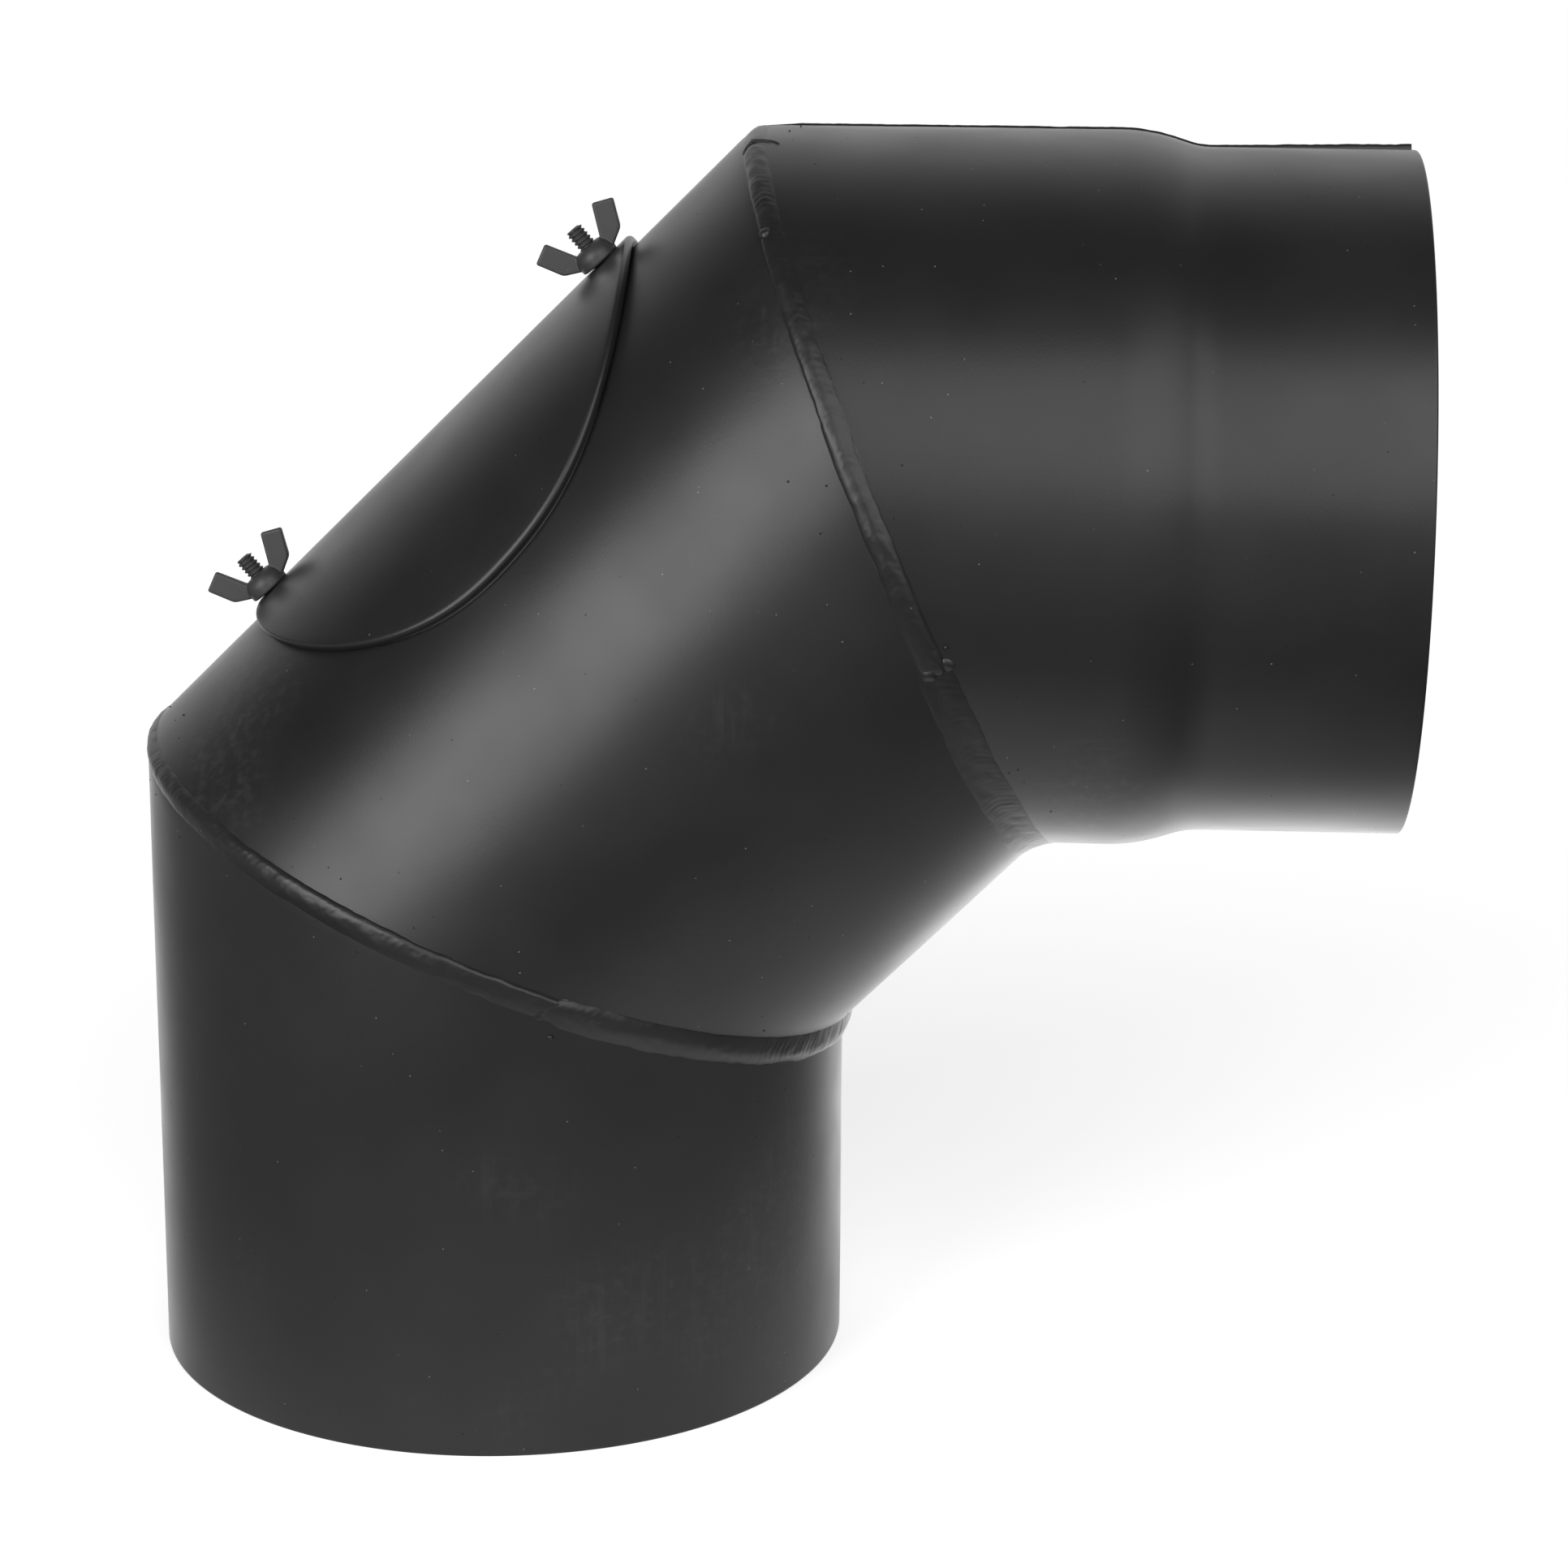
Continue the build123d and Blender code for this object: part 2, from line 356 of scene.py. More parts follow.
def plate(name, inset, r_out, r_in, edge_out, edge_in):
    """Sheet rolled round the middle piece, nearly round, with rounded edges square to the sheet."""
    lines = []
    for turn in spread(0, 2 * math.pi, outline_steps + 1)[:-1]:
        rim = cover_reach(turn, inset)
        rings = [(f * (rim - edge_out), r_out) for f in spread(sheet_middle, 1, sheet_rings)]
        for b in spread(math.pi / 12, math.pi / 2, 6):
            rings.append((rim - edge_out * (1 - math.sin(b)), r_out - edge_out * (1 - math.cos(b))))
        for b in spread(math.pi / 2, math.pi, 4):
            rings.append((rim - edge_in * (1 - math.sin(b)), r_in + edge_in * (1 + math.cos(b))))
        rings += [(f * (rim - edge_in), r_in) for f in spread(1, sheet_middle, sheet_rings)[1:]]
        line = []
        for q, r in rings:
            s = cover_shift + q * math.cos(turn + cover_twist)
            around_pipe = math.asin((cover_aside + q * math.sin(turn + cover_twist)) / r_out)
            line.append(middle_run.at(middle_length / 2 + s, r, around_pipe))
        lines.append(line)
    verts, faces = loft(lines, closed_lines=False)
    size = len(lines[0])
    faces.append(tuple(i * size for i in range(len(lines))))
    faces.append(tuple(i * size + size - 1 for i in reversed(range(len(lines)))))
    return new_piece(name, verts, faces)


def cut_opening(piece, radius):
    low, high = opening_cut
    cut_round(piece, cleanout + slant_heel * low, cleanout + slant_heel * high, radius, 128)


def cut_stud_holes(piece):
    half_cut = stud_axis * stud_hole_cut
    for foot in stud_feet.values():
        cut_round(piece, foot - half_cut, foot + half_cut, stud_hole_r, 48)


# Welds round the mitres and along the pieces; a wave has a size, as a share, and a length in mm

box_room = 0.02 * mm           # kept inside the solids' overall box
weld_sharp = 60                # as hard_edge, for welds
root_depth = 0.5 * mm          # of a weld's hidden side under the wall's surface
lean_width = 3 * mm            # beside a joint, past which a bead leans with one pipe alone

crown_height = 0.85 * mm
crown_loss = 0.35 * mm         # over the ridge of the heel
crown_waves = (0.14, 7), (0.08, 2.5)
width_waves = (0.1, 9), (0.06, 2.6)
ridge_round = 1.2 * mm
fullness = 0.8                 # of a bead's section: 1 is a parabola, less is fuller
sway, sway_length = 0.3 * mm, 22
crest_sway, crest_sway_length = 0.12, 5
end_round = 1.2                # half widths over which the end of a run is rounded
least_size = 0.03              # share of a bead's size at its very end
bead_bury = 0.04 * mm          # of a bead's edges under the wall's surface

ripple_height = 0.03 * mm
ripple_length = 1.7
ripple_bow = 1.1               # millimetres by which a ripple's edges lie further on than its middle
ripple_least, ripple_change, ripple_change_length = 0.3, 1.2, 6
dents = (0.11 * mm, 0.35, 1.6), (0.03 * mm, 1.3, 4)     # height, and density along and across

low_bead = 3.1 * mm, 0.3, (0, 0), 0.6       # half width, share of the crown, crests and hollow
low_step, run_step = 0.6, 0.22              # degrees from section to section
low_points, run_points = 11, 21             # across a section
spatter_count = 40
spatter_away = 4.5 * mm, 14 * mm
spatter_radius = 0.12 * mm, 0.26 * mm
drop_unevenness, drop_density = 0.12, 1.6

strip_half_width = 1.5 * mm
strip_step = 0.4 * mm
strip_bury = 0.05 * mm
strip_rise = 0.75 * mm
rise_waves = (0.12, 4), (0.08, 1.4)
strip_waves = ((0.15, 6),)


def fenced(point):
    """The point, moved back into the solids' overall box where it lies outside."""
    low, high = cad_box
    return Vector([min(max(v, a + box_room), b - box_room) for v, a, b in zip(point, low, high)])


def rough(value, seed):
    """Smooth irregular value between about -1 and 1 along a line."""
    return noise.noise(Vector((value, seed * 7.3, seed * 1.7)))


def uneven(s, waves, seeds):
    """Factor near 1 that changes along a weld; s is in millimetres."""
    return 1 + sum(size * rough(s / length, seed) for (size, length), seed in zip(waves, seeds))


class Mitre:
    """The joint between two runs: points across its bead at an angle from the heel."""

    def __init__(self, first, second, first_end):
        self.first = first
        self.second = second
        self.first_end = first_end

    def out(self, angle, across):
        """Outward direction: the mean of both pipes over the joint, and one pipe's own beside it."""
        ways = [run.out(angle) for run in (self.first, self.second)]
        mean = (ways[0] + ways[1]).normalized()
        own = ways[0] if across < 0 else ways[1]
        return mean.lerp(own, min(abs(across) / lean_width, 1)).normalized()

    def at(self, angle, across, height):
        """Point at a distance across the joint, measured along the pipe on that side, and a height."""
        seam = self.first.at(self.first_end + mitre_gap(angle), pipe_r, angle)
        side = self.first.along if across < 0 else self.second.along
        return seam + side * across + self.out(angle, across) * height


def crown_at(angle):
    """Height of the bead's crown, lowest over the ridge of the heel."""
    return crown_height - crown_loss * max(math.cos(angle), 0)


def fill_at(angle, across, half_width, hollow):
    """Height that rounds a bead off over the heel's ridge and fills the throat's valley, hollow or flat."""
    c = math.cos(angle)
    lean = math.sin(half_mitre)
    if c > 0:
        return lean * c * (abs(across) - math.hypot(across, ridge_round))
    inward = max(1 - abs(across) / half_width, 0)
    return lean * -c * half_width * (hollow * inward * inward / 2 + (1 - hollow) * inward)


def swell(u, crest):
    """Height across a bead, from 0 at its edges to 1 at its crest; u and crest run from -1 to 1."""
    v = (u - crest) / (1 + crest if u < crest else 1 - crest)
    return (1 - v * v) ** fullness


def bead_texture(s, u, seed):
    """Height of a bead's ripples and dents, at s millimetres along it and at u from -1 to 1 across it."""
    strength = ripple_least + ripple_change * rough(s / ripple_change_length, seed + 5)
    height = ripple_height * strength * math.cos(2 * math.pi * (s - ripple_bow * u * u) / ripple_length)
    for depth, along, across in dents:
        height += depth * noise.noise(Vector((s * along, u * across, seed)))
    return height


def bead(mitre, start, end, half_width, share, crests, hollow, seed, step, points, rounded):
    """One run of weld between two angles in degrees, as sections across it; its ends may be rounded off."""
    places = [math.sin(v * math.pi / 2) for v in spread(-1, 1, points)]
    lines = []
    for degrees in spread(start, end, int((end - start) / step) + 1):
        angle = math.radians(degrees)
        s = angle * pipe_r / mm
        from_end = math.radians(min(degrees - start, end - degrees)) * pipe_r
        f = max(0, 1 - from_end / (end_round * half_width)) if rounded else 0
        size = max(math.sqrt(1 - f * f), least_size)
        crown = crown_at(angle) * share * size * uneven(s, crown_waves, (seed, seed + 1))
        middle = sway * rough(s / sway_length, seed + 2)
        widths = [half_width * size * uneven(s, width_waves, (k, k + 0.5)) for k in (seed + 3, seed + 4)]
        gone = (degrees - start) / (end - start)
        crest = crests[0] + (crests[1] - crests[0]) * gone
        crest += crest_sway * rough(s / crest_sway_length, seed + 6)
        line = []
        for u in places:
            across = middle + u * (widths[0] if u < 0 else widths[1])
            height = crown * swell(u, crest) + bead_texture(s, u, seed) * (1 - u ** 4) * size
            height += fill_at(angle, across, half_width * size, hollow)
            line.append(fenced(mitre.at(angle, across, height - bead_bury)))
        for u in (0.9, 0.0, -0.9):
            line.append(fenced(mitre.at(angle, middle + u * half_width * size, -root_depth)))
        lines.append(line)
    return lines


def drop(mitre, degrees, across, radius, sink):
    """Spatter or a lump of weld: a ball sunk in the pipe, flat where it would come through the wall."""
    angle = math.radians(degrees)
    out = mitre.out(angle, across)
    centre = mitre.at(angle, across, -sink)
    root = mitre.at(angle, across, -wall / 2)
    bm = bmesh.new()
    bmesh.ops.create_icosphere(bm, subdivisions=2 if radius < mm else 4, radius=radius)
    verts = []
    for v in bm.verts:
        grain = noise.noise(v.co / radius * drop_density + Vector((degrees, 0, 0)))
        point = centre + v.co * (1 + drop_unevenness * grain)
        verts.append(fenced(point + out * max((root - point).dot(out), 0)))
    faces = [tuple(v.index for v in f.verts) for f in bm.faces]
    bm.free()
    return verts, faces


def make_weld(name, mitre, runs, drops, seed):
    """A low bead all round, runs of bead over it and spatter beside it, in one piece."""
    low = bead(mitre, 0, 360, *low_bead, seed, low_step, low_points, False)[:-1]
    shells = [skin_over(low, True)]
    for run in runs:
        seed += 10
        shells.append(skin_over(bead(mitre, *run, seed, run_step, run_points, True), False))
    pick = random.Random(seed)
    for i in range(spatter_count):
        away = pick.choice((-1, 1)) * pick.uniform(*spatter_away)
        drops = drops + [(pick.uniform(0, 360), away, pick.uniform(*spatter_radius), 0)]
    for place in drops:
        shells.append(drop(mitre, *place))
    verts, faces = [], []
    for shell_verts, shell_faces in shells:
        faces += [tuple(i + len(verts) for i in face) for face in shell_faces]
        verts += shell_verts
    return new_piece(name, verts, faces, weld_sharp)


def make_seam(name, run, angle, wall_at, rise_at, low, high, seed):
    """Lengthwise weld: a narrow strip, proud of the wall by a height that changes along it."""
    lines = []
    for t in spread(low, high, int((high - low) / strip_step)):
        s = t / mm
        rise = rise_at(t) * uneven(s, rise_waves, (seed, seed + 1))
        width = strip_half_width * uneven(s, strip_waves, (seed + 2,))
        line = []
        for u in spread(-1, 1, 13):
            height = rise * (1 - abs(u) ** 4) ** 0.5 - strip_bury
            line.append(fenced(run.at(t, wall_at(t) + height, angle + u * width / pipe_r)))
        for u in (0.8, -0.8):
            line.append(run.at(t, wall_at(t) - root_depth, angle + u * width / pipe_r))
        lines.append(line)
    return new_piece(name, *skin_over(lines, False), weld_sharp)


# Studs and wing nuts

thread_pitch = 0.95 * mm
thread_depth = 0.4 * mm
thread_root = 0.15             # shares of half a pitch: half the root's flat, then a flank
thread_flank = 0.65
thread_sharp = 50              # as hard_edge, for threads
pitch_steps = 12
stud_steps = 44                # round a stud
stud_chamfer = 0.45 * mm
chamfer_slope = 0.8
wing_way = Vector((stud_axis.z, 0, -stud_axis.x))

# One wing's corners and the hub's foot, in millimetres from the middle of the nut's seat
wing_corners = [(3.9, 0.35, 0), (8.2, 2.6, 2.4), (11.15, 8.4, 0.5), (6.75, 10.45, 0.5), (3.3, 3.8, 0.8)]
wing_half_thickness = 1.25
wing_thinning = 0.05           # per millimetre of height
wing_edge = 0.45 * mm
hub_foot = [(4.3, -0.25), (4.55, -0.1), (4.65, 0.2), (4.6, 1.1)]
dome_low, dome_height = 1.1, 3.0
dome_top_r, dome_shoulder = 2.6, 2.0
dome_roundness = 1.3
bore_cut = -1, 6
nut_bore_r = stud_r + 0.1 * mm
cast_grain = 0.14 * mm


def make_stud(name, node, foot):
    """Threaded stud with a chamfered end."""
    low = -reach(node, -stud_axis, foot)
    high = reach(node, stud_axis, foot)
    lines = []
    for h in spread(low, high, int((high - low) / thread_pitch * pitch_steps)):
        line = []
        for i in range(stud_steps):
            turn = 2 * math.pi * i / stud_steps
            phase = (h / thread_pitch - i / stud_steps) % 1
            crest = min(max((abs(2 * phase - 1) - thread_root) / thread_flank, 0), 1)
            r = stud_r - thread_depth * (1 - crest) - max(0, h - (high - stud_chamfer)) * chamfer_slope
            line.append(foot + stud_axis * h + (wing_way * math.cos(turn) + front * math.sin(turn)) * r)
        lines.append(line)
    return new_piece(name, *skin_over(lines, False), thread_sharp)


def rounded_outline(corners):
    """Closed outline through corners given as x, z and rounding radius."""
    points = []
    for i, (x, z, radius) in enumerate(corners):
        here = Vector((x, z))
        before = (Vector(corners[i - 1][:2]) - here).normalized()
        after = (Vector(corners[(i + 1) % len(corners)][:2]) - here).normalized()
        if radius == 0:
            points.append(here)
            continue
        half = before.angle(after) / 2
        centre = here + (before + after).normalized() * (radius / math.sin(half))
        first = here + before * (radius / math.tan(half)) - centre
        last = here + after * (radius / math.tan(half)) - centre
        sweep = first.angle_signed(last)
        for f in spread(0, 1, 9):
            a = -sweep * f
            points.append(centre + Vector((first.x * math.cos(a) - first.y * math.sin(a),
                                           first.x * math.sin(a) + first.y * math.cos(a))))
    return points


def make_nut(name, node, foot):
    """Wing nut: a domed hub and two square-ended wings with broken edges, cast in one, with a bore."""
    seat = foot + stud_axis * -reach(node, -stud_axis, foot)

    def at(x, y, z):
        return seat + (wing_way * x + front * y + stud_axis * z) * mm

    outline = rounded_outline(wing_corners + [(-x, z, r) for x, z, r in reversed(wing_corners)])
    size = len(outline)
    verts = []
    for side in (-1, 1):
        verts += [at(q.x, side * (wing_half_thickness - wing_thinning * q.y), q.y) for q in outline]
    faces = [tuple(range(size)), tuple(range(size, 2 * size))]
    faces += [(i, (i + 1) % size, size + (i + 1) % size, size + i) for i in range(size)]
    nut = new_piece(name, verts, faces)
    bm = bmesh.new()
    bm.from_mesh(nut.data)
    rims = [e for e in bm.edges if abs((e.verts[0].co - e.verts[1].co).dot(front)) < 0.5 * mm]
    bmesh.ops.bevel(bm, geom=rims, offset=wing_edge, segments=3, profile=0.6, affect="EDGES")
    bm.to_mesh(nut.data)
    bm.free()
    profile = list(hub_foot)
    for a in spread(0.1, 1.56, 12):
        r = dome_top_r + dome_shoulder * math.cos(a) ** dome_roundness
        profile.append((r, dome_low + dome_height * math.sin(a)))
    rings = []
    for r, z in profile:
        rings.append([at(r * math.cos(w), r * math.sin(w), z) for w in spread(0, 2 * math.pi, 65)[:-1]])
    combine(nut, new_piece("hub", *skin_over(rings, False)), "UNION")
    cast = nut.modifiers.new("cast", "REMESH")
    cast.mode = "VOXEL"
    cast.voxel_size = cast_grain
    soften = nut.modifiers.new("soften", "SMOOTH")
    soften.factor = 0.5
    soften.iterations = 5
    settle(nut)
    cut_round(nut, at(0, 0, bore_cut[0]), at(0, 0, bore_cut[1]), nut_bore_r, 48)
    return nut


# Materials

class Nodes:
    """Short way to write the nodes of a material or a world."""

    def __init__(self, owner):
        owner.use_nodes = True
        self.owner = owner
        self.tree = owner.node_tree
        self.shader = self.tree.nodes.get("Principled BSDF") or self.tree.nodes["Background"]

    def add(self, kind, **sockets):
        node = self.tree.nodes.new(kind)
        for key, value in sockets.items():
            self.set(node, key, value)
        return node

    def set(self, node, key, value):
        """Give an input a value or a link; a name's underscores stand for spaces."""
        socket = node.inputs[key.replace("_", " ")] if isinstance(key, str) else node.inputs[key]
        if isinstance(value, bpy.types.NodeSocket):
            self.tree.links.new(value, socket)
        else:
            socket.default_value = value

    def math(self, operation, a, b):
        node = self.add("ShaderNodeMath")
        node.operation = operation
        self.set(node, 0, a)
        self.set(node, 1, b)
        return node.outputs[0]

    def vector_math(self, operation, a, b):
        node = self.add("ShaderNodeVectorMath")
        node.operation = operation
        self.set(node, 0, a)
        self.set(node, 1, b)
        return node

    def blend(self, share, first, second):
        """One of two shaders, or some of both."""
        node = self.add("ShaderNodeMixShader", Fac=share)
        self.set(node, 1, first)
        self.set(node, 2, second)
        return node.outputs[0]

    def map_range(self, value, low, high, to_low, to_high):
        """Smooth step from one value to another."""
        node = self.add("ShaderNodeMapRange", Value=value)
        node.interpolation_type = "SMOOTHSTEP"
        for key, number in (("From Min", low), ("From Max", high), ("To Min", to_low), ("To Max", to_high)):
            node.inputs[key].default_value = number
        return node.outputs["Result"]


def make_paint(name, dark, pale, gloss, wear):
    """Black paint with fine grain, uneven gloss, faint scuffed patches, dust specks and pinholes."""
    m = Nodes(bpy.data.materials.new(name))
    place = m.add("ShaderNodeTexCoord").outputs["Object"]
    scratch_tone = 0.013 * wear
    speck_tone = 0.15 * wear
    hole_share = 0.9 * wear
    gloss_change = 0.03

    def cloud(scale, detail, stretch=(1, 1, 1)):
        spot = m.vector_math("MULTIPLY", place, stretch).outputs["Vector"]
        return m.add("ShaderNodeTexNoise", Vector=spot, Scale=scale, Detail=detail).outputs["Fac"]

    def dots(scale, size, share):
        cells = m.add("ShaderNodeTexVoronoi", Vector=place, Scale=scale)
        near = m.map_range(cells.outputs["Distance"], size * 0.5, size, 1.0, 0.0)
        hue = m.add("ShaderNodeSeparateColor", Color=cells.outputs["Color"])
        return m.math("MULTIPLY", near, m.math("GREATER_THAN", hue.outputs["Red"], 1 - share))

    tone = m.map_range(cloud(28.0, 3.0), 0.25, 0.75, dark, pale)
    patch = m.map_range(cloud(13.0, 2.0), 0.54, 0.7, 0.0, 1.0)
    down = m.map_range(cloud(60.0, 3.0, (9, 9, 0.6)), 0.5, 0.75, 0.0, scratch_tone)
    along = m.map_range(cloud(60.0, 3.0, (0.6, 9, 9)), 0.52, 0.75, 0.0, scratch_tone)
    mist = m.map_range(cloud(420.0, 2.0), 0.45, 0.8, 0.0, scratch_tone)
    scuff = m.math("MULTIPLY", patch, m.math("ADD", m.math("MAXIMUM", down, along), mist))
    specks = m.math("MULTIPLY", dots(300.0, 0.06, 0.25), speck_tone)
    holes = m.math("MULTIPLY", dots(260.0, 0.06, 0.3), hole_share)
    tone = m.math("ADD", m.math("ADD", tone, scuff), specks)
    m.set(m.shader, "Base_Color", m.math("MULTIPLY", tone, m.math("SUBTRACT", 1.0, holes)))
    shine = m.map_range(cloud(40.0, 2.0), 0.25, 0.75, gloss - gloss_change, gloss + gloss_change)
    m.set(m.shader, "Roughness", m.math("ADD", shine, m.math("MULTIPLY", holes, 0.5)))
    grain = m.add("ShaderNodeBump", Height=cloud(1700.0, 2.0), Strength=0.16, Distance=0.0001)
    m.set(m.shader, "Normal", grain.outputs["Normal"])
    return m.owner


def make_painted_shade_fibre():
    """Heat-proof sheet of matted fibres, coloured near black as painted shade where it shows under the cover's
    edge.
    """
    m = Nodes(bpy.data.materials.new("gasket_sheet"))
    place = m.add("ShaderNodeTexCoord").outputs["Object"]
    cloud = m.add("ShaderNodeTexNoise", Vector=place, Scale=900.0, Detail=4.0, Distortion=2.0)
    strands = cloud.outputs["Fac"]
    tone = m.add("ShaderNodeValToRGB", Fac=strands)
    # Near-black tones: painted shade under the cover's edge, standing in for the sheet's own colour
    tone.color_ramp.elements[0].color = (0.03, 0.03, 0.03, 1)
    tone.color_ramp.elements[1].color = (0.07, 0.07, 0.07, 1)
    m.set(m.shader, "Base_Color", tone.outputs["Color"])
    m.set(m.shader, "Roughness", 0.95)
    weave = m.add("ShaderNodeBump", Height=strands, Strength=0.4, Distance=0.0002)
    m.set(m.shader, "Normal", weave.outputs["Normal"])
    return m.owner


# Dark and pale tone, roughness and share of the wear
paint = make_paint("pipe_paint", 0.011, 0.016, 0.36, 1.0)
weld_paint = make_paint("weld_paint", 0.010, 0.016, 0.38, 0.8)
nut_paint = make_paint("hardware_paint", 0.036, 0.046, 0.46, 0.4)
# Gasket material, near black as painted shade under the cover's edge
painted_shade_fibre = make_painted_shade_fibre()


# Pipes, cover and gasket in place

lower_pipe = make_tube("lower_pipe", lower_run, lower_section)
finish_piece(lower_pipe, "lower_segment", "elbow", paint)
middle_pipe = make_tube("middle_pipe", middle_run, middle_section)
cut_opening(middle_pipe, opening_r)
finish_piece(middle_pipe, "middle_segment", "elbow", paint)
spigot_pipe = make_tube("spigot_pipe", outlet_run, outlet_section)
finish_piece(spigot_pipe, "spigot_segment", "elbow", paint)

cover = plate("cover_plate", 0, cover_out_r, cover_in_r, cover_edge, cover_inner_edge)
cut_stud_holes(cover)
finish_piece(cover, "cleanout_cover", "cover", paint)
gasket_radii = cover_in_r - seat_gap, pipe_r + seat_gap
gasket = plate("gasket_sheet", gasket_inset, *gasket_radii, gasket_edge, gasket_edge)
cut_opening(gasket, gasket_opening_r)
cut_stud_holes(gasket)
# The gasket gets the near-black fibre, painted shade under the cover's edge
finish_piece(gasket, "cover_gasket", "cover", painted_shade_fibre)


# Beads in place

# Runs: start and end angle, half width, share of the full crown, crest at both ends and hollow
lower_runs = [(8, 107, 3.0 * mm, 1.0, (0.3, 0.7), 0), (103, 186, 3.7 * mm, 1.15, (0.4, -0.85), 0),
              (181, 262, 3.6 * mm, 0.6, (0, 0.5), 0.3), (258, 371, 3.0 * mm, 1.0, (0.6, 0.2), 0)]
upper_runs = [(10.6, 70, 2.9 * mm, 1.0, (-0.5, -0.75), 0), (66, 108, 2.9 * mm, 1.0, (-0.6, 0.6), 0),
              (104, 184, 4.2 * mm, 0.4, (0.2, 0), 1), (180, 270, 4.0 * mm, 0.4, (0, 0.3), 1),
              (266, 351, 3.0 * mm, 1.0, (0.4, -0.5), 0)]

# Drops: angle, distance across the joint, radius and how deep the ball's middle lies
lower_drops = [(104.5, -6.3 * mm, 0.75 * mm, 0.2 * mm), (106, 1.2 * mm, 3.4 * mm, 2.3 * mm),
               (103, -1.5 * mm, 2.6 * mm, 1.8 * mm), (262, 0.5 * mm, 3.2 * mm, 2.2 * mm)]
upper_drops = [(36, -1.4 * mm, 1.5 * mm, 0.4 * mm), (103, 4.6 * mm, 0.5 * mm, 0),
               (106, 3.2 * mm, 2.2 * mm, 1.6 * mm), (107, -1.0 * mm, 3.0 * mm, 2.1 * mm),
               (268, 0, 3.2 * mm, 2.2 * mm)]

# Rim of the crater where the upper weld begins: drops along an arc
crater_angle, crater_aside = 11.6, 1.4 * mm
crater_length, crater_half_width = 2.2, 4.0 * mm        # length in degrees, as the angle
crater_sink = 0.15 * mm
for turn in spread(math.radians(-110), math.radians(75), 22):
    degrees = crater_angle - crater_length * math.cos(turn)
    across = crater_aside + crater_half_width * math.sin(turn)
    rim_r = (0.32 + 0.2 * math.cos(turn / 1.4)) * mm    # thickest at the top
    upper_drops.append((degrees, across, rim_r, crater_sink))

lower_joint = Mitre(lower_run, middle_run, lower_length)
upper_joint = Mitre(middle_run, outlet_run, middle_length)
weld = make_weld("lower_bead", lower_joint, lower_runs, lower_drops, 3)
finish_piece(weld, "weld_lower", "elbow", weld_paint)
weld = make_weld("upper_bead", upper_joint, upper_runs, upper_drops, 5)
finish_piece(weld, "weld_upper", "elbow", weld_paint)


# Lengthwise strips in place

seam_turn = math.radians(9)    # to the hidden side, from the heel or from the throat
spigot_seam_turn = seam_turn + math.radians(2.5)
seam_in = 1.4 * mm             # from a mitre
socket_in = 0.5 * mm           # from the socket's rim
spigot_in = 0.6 * mm           # from the spigot's rim
strip_start = 9 * mm           # over which the outlet's strip rises from the upper weld
strip_lift = 0.7 * mm          # by which it stands off more at the spigot's end


def pipe_wall(t):
    return pipe_r


def outlet_wall(t):
    return step_in(t, pipe_r, spigot_r)


def plain_rise(t):
    return strip_rise


def spigot_rise(t):
    """Strip along the outlet: low on the pipe, standing off the spigot more and more towards its end."""
    free = outlet_length - straight_length
    begun = min((t + mitre_gap(0)) / strip_start, 1)
    return strip_rise * begun + strip_lift * max(0, (t - free) / straight_length)


angle = -spigot_seam_turn
seam = make_seam("spigot_strip", outlet_run, angle, outlet_wall, spigot_rise,
                 seam_in - mitre_gap(angle), outlet_length - spigot_in, 41)
finish_piece(seam, "seam_spigot", "elbow", weld_paint)
angle = -seam_turn
seam = make_seam("lower_strip", lower_run, angle, pipe_wall, plain_rise,
                 socket_in, lower_length + mitre_gap(angle) - seam_in, 43)
finish_piece(seam, "seam_lower", "elbow", weld_paint)
angle = math.pi + seam_turn
seam = make_seam("middle_strip", middle_run, angle, pipe_wall, plain_rise,
                 seam_in - mitre_gap(angle), middle_length + mitre_gap(angle) - seam_in, 45)
finish_piece(seam, "seam_middle", "elbow", weld_paint)


# Studs and nuts in place

for side, foot in stud_feet.items():
    stud = make_stud("threaded_stud_" + side, "stud_" + side, foot)
    finish_piece(stud, "stud_" + side, "elbow", nut_paint)
    nut = make_nut("cast_nut_" + side, "wing_nut_" + side, foot)
    finish_piece(nut, "wing_nut_" + side, "nut_" + side, nut_paint)


# Stage: floor, world, lamps and camera

floor_half = 4.0
painted_glow_spot = (0.05, -0.06, 0)              # middle of the painted pool of light on the paper, seen only in the paint's reflections
sweep_way = (0, 0.866, -0.5)                # towards the brightest part of the studio
sweep_edge, sweep_strength = 0.42, 2.8      # cosine at the sweep's edge, and its brightest
lamp_aim = Vector((0.06, 0, 0.14))
lamp_distance = 1.2


def direction(azimuth, elevation):
    """Way to a point seen from the part, by its angles in degrees to the right of the front and up."""
    a, e = math.radians(azimuth), math.radians(elevation)
    return Vector((math.sin(a) * math.cos(e), -math.cos(a) * math.cos(e), math.sin(e)))


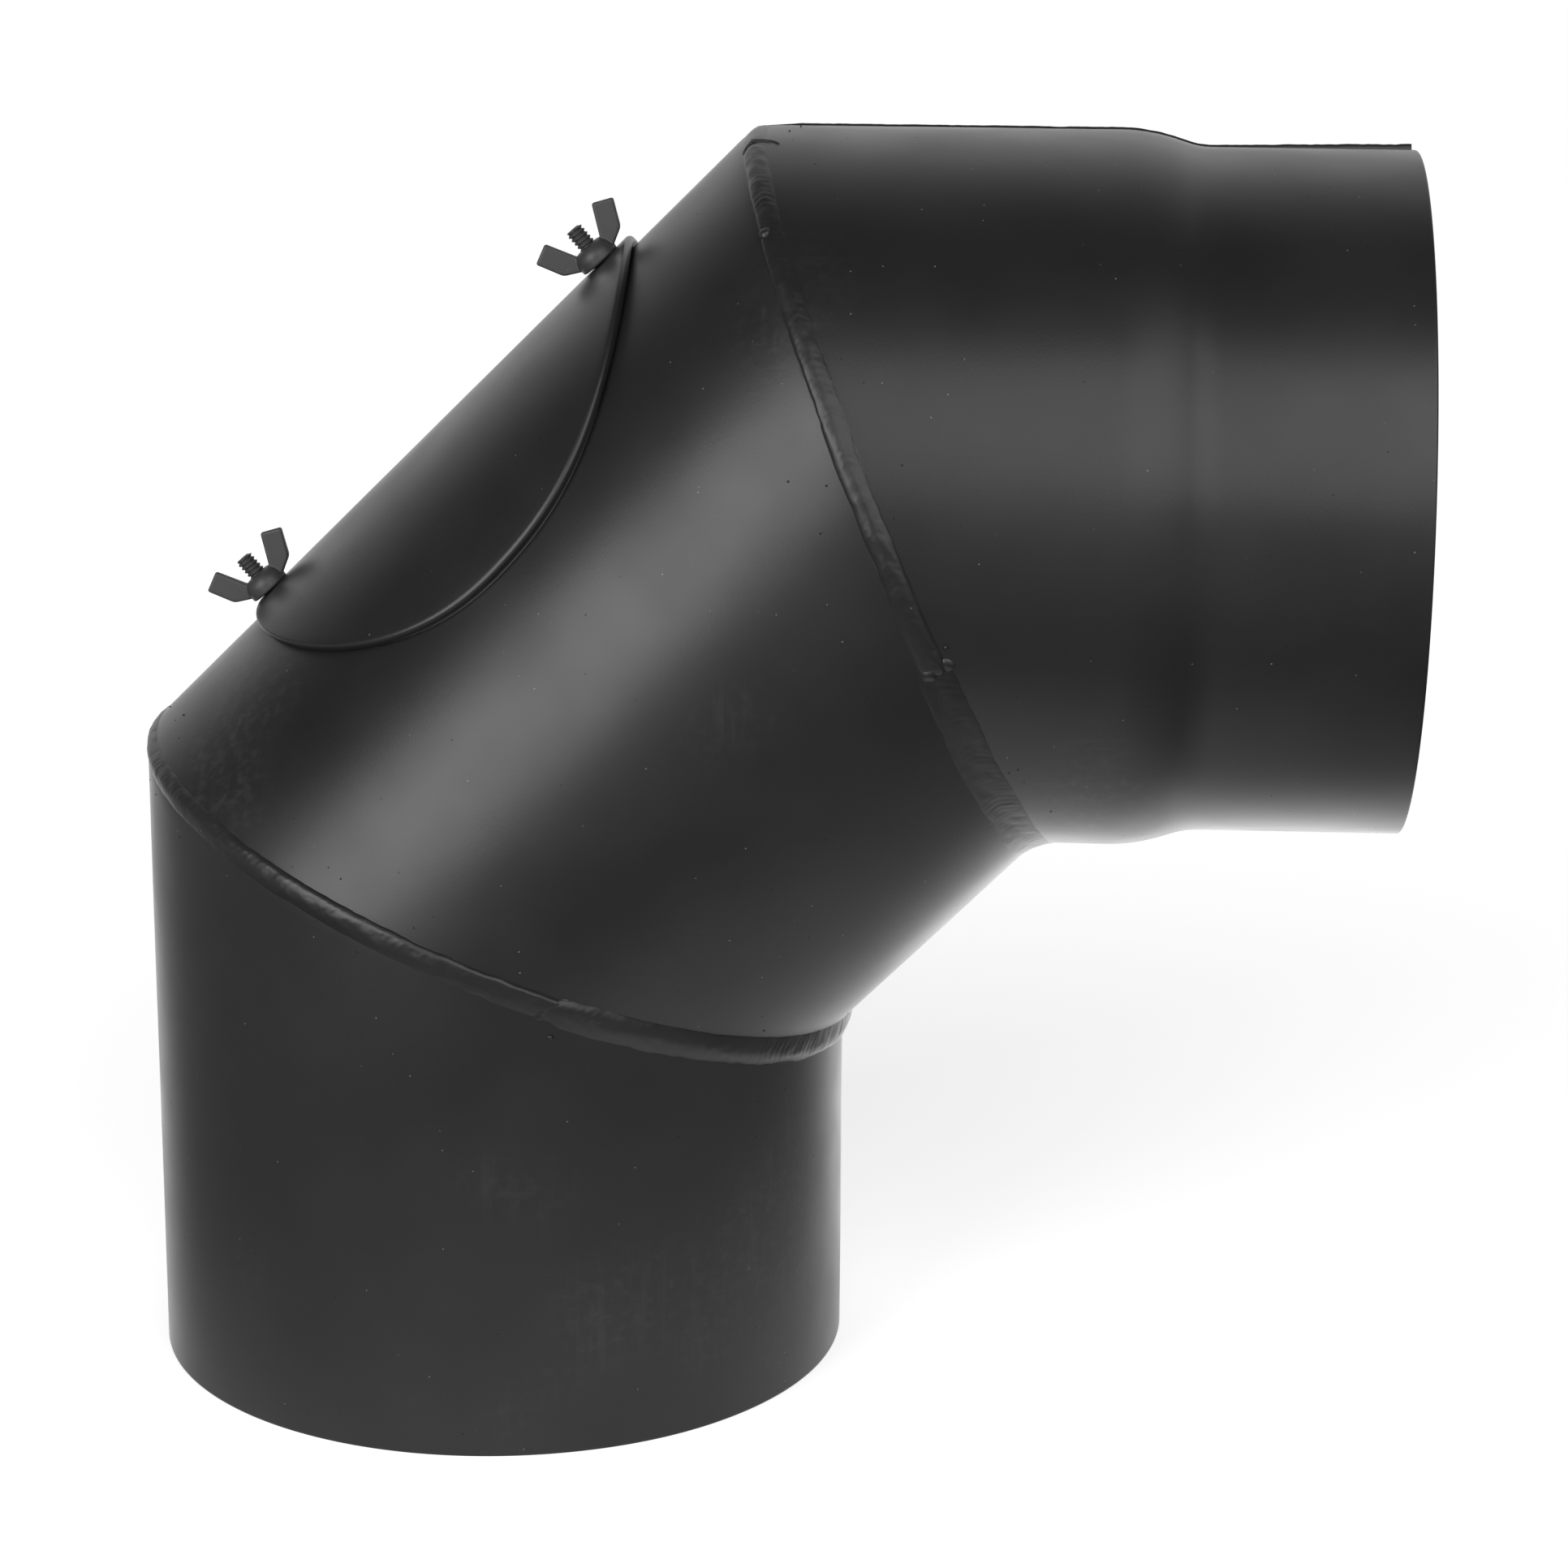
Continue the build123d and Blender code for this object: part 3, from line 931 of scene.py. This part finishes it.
def make_floor():
    """Pale paper, white with the part's shadow to the camera; paint reflects only its painted glow near the part.
    """
    half = floor_half
    corners = [Vector((x, y, 0)) for x, y in ((-half, -half), (half, -half), (half, half), (-half, half))]
    floor = new_piece("floor", corners, [(0, 1, 2, 3)])
    m = Nodes(bpy.data.materials.new("floor_paper"))
    m.set(m.shader, "Base_Color", (0.8, 0.8, 0.8, 1))
    m.set(m.shader, "Roughness", 0.9)
    rays = m.add("ShaderNodeLightPath")
    place = m.add("ShaderNodeTexCoord").outputs["Object"]
    away = m.vector_math("DISTANCE", place, painted_glow_spot).outputs["Value"]
    # Painted pool of light: the paper glows near the part, for the paint's reflections only
    near = m.map_range(away, 0.03, 0.24, 0.8, 0.0)
    seen = m.math("MULTIPLY", rays.outputs["Is Camera Ray"], m.map_range(away, 0.2, 0.9, 0.64, 0.83))
    lit = m.add("ShaderNodeAddShader")
    m.set(lit, 0, m.shader.outputs[0])
    m.set(lit, 1, m.add("ShaderNodeEmission", Strength=seen).outputs[0])
    clear = m.add("ShaderNodeBsdfTransparent").outputs[0]
    # What the paint reflects: the painted glow near the part, and clear paper elsewhere
    painted_glow_pool = m.blend(near, clear, m.add("ShaderNodeEmission", Strength=1.0).outputs[0])
    shown = m.blend(rays.outputs["Is Glossy Ray"], lit.outputs[0], painted_glow_pool)
    m.tree.links.new(shown, m.tree.nodes["Material Output"].inputs["Surface"])
    floor.data.materials.append(m.owner)


def make_world():
    """Studio: white to the camera, and for the paint bright behind the part and nearly dark in front."""
    world = bpy.data.worlds.new("studio")
    bpy.context.scene.world = world
    m = Nodes(world)
    way = m.add("ShaderNodeTexCoord").outputs["Generated"]
    axes = m.add("ShaderNodeSeparateXYZ", Vector=way)
    rays = m.add("ShaderNodeLightPath")
    above = m.map_range(axes.outputs["Y"], 0.25, 0.9, 0.06, 0.9)
    towards = m.vector_math("DOT_PRODUCT", way, sweep_way).outputs["Value"]
    aside = m.math("MULTIPLY", m.math("ABSOLUTE", axes.outputs["X"], 0), 0.1)
    inside = m.math("SUBTRACT", m.math("SUBTRACT", towards, aside), sweep_edge)
    share = m.math("MAXIMUM", m.math("DIVIDE", inside, 1 - sweep_edge), 0.0)
    sweep = m.math("MULTIPLY", m.math("MULTIPLY", share, share), sweep_strength)
    below = m.math("MAXIMUM", sweep, m.map_range(axes.outputs["Z"], -0.6, -0.25, 0.08, 0.3))
    up = m.map_range(axes.outputs["Z"], -0.1, 0.1, 0.0, 1.0)
    around_part = m.math("ADD", below, m.math("MULTIPLY", up, m.math("SUBTRACT", above, below)))
    m.set(m.shader, "Strength", m.math("MAXIMUM", rays.outputs["Is Camera Ray"], around_part))
    m.set(m.shader, "Color", (1, 1, 1, 1))


def make_soft_box(name, azimuth, elevation, width, height, radiance):
    """Lamp that faces the part, placed by its direction from the part."""
    way = direction(azimuth, elevation)
    light = bpy.data.lights.new(name, "AREA")
    light.shape = "RECTANGLE"
    light.size = width
    light.size_y = height
    light.energy = radiance * math.pi * width * height
    lamp = bpy.data.objects.new(name, light)
    lamp.location = lamp_aim + way * lamp_distance
    lamp.rotation_euler = way.to_track_quat("Z", "Y").to_euler()
    lamp.visible_camera = False
    bpy.context.scene.collection.objects.link(lamp)


def make_camera():
    """Camera as it was fitted to the photo's outline."""
    back = direction(3.1109, 15.9256)
    roll = math.radians(0.3311)
    target = Vector((63.593, 0, 128.934)) * mm
    distance = 957.93 * mm
    focal_pixels = 5319.73
    photo_width = 1932
    right = Vector((0, 0, 1)).cross(back).normalized()
    up = back.cross(right)
    turned = Matrix.Rotation(roll, 3, back)
    facing = Matrix((turned @ right, turned @ up, back)).transposed().to_4x4()
    data = bpy.data.cameras.new("camera")
    data.sensor_width = 36
    data.lens = focal_pixels / photo_width * data.sensor_width
    camera = bpy.data.objects.new("camera", data)
    camera.matrix_world = Matrix.Translation(target + back * distance) @ facing
    bpy.context.scene.collection.objects.link(camera)
    bpy.context.scene.camera = camera


make_floor()
make_world()
make_soft_box("key_box", -37, 15, 0.75, 0.75, 5.0)
make_soft_box("fill_box", 25, 32, 1.15, 1.0, 2.2)
make_camera()
bpy.context.scene.view_settings.view_transform = "Standard"
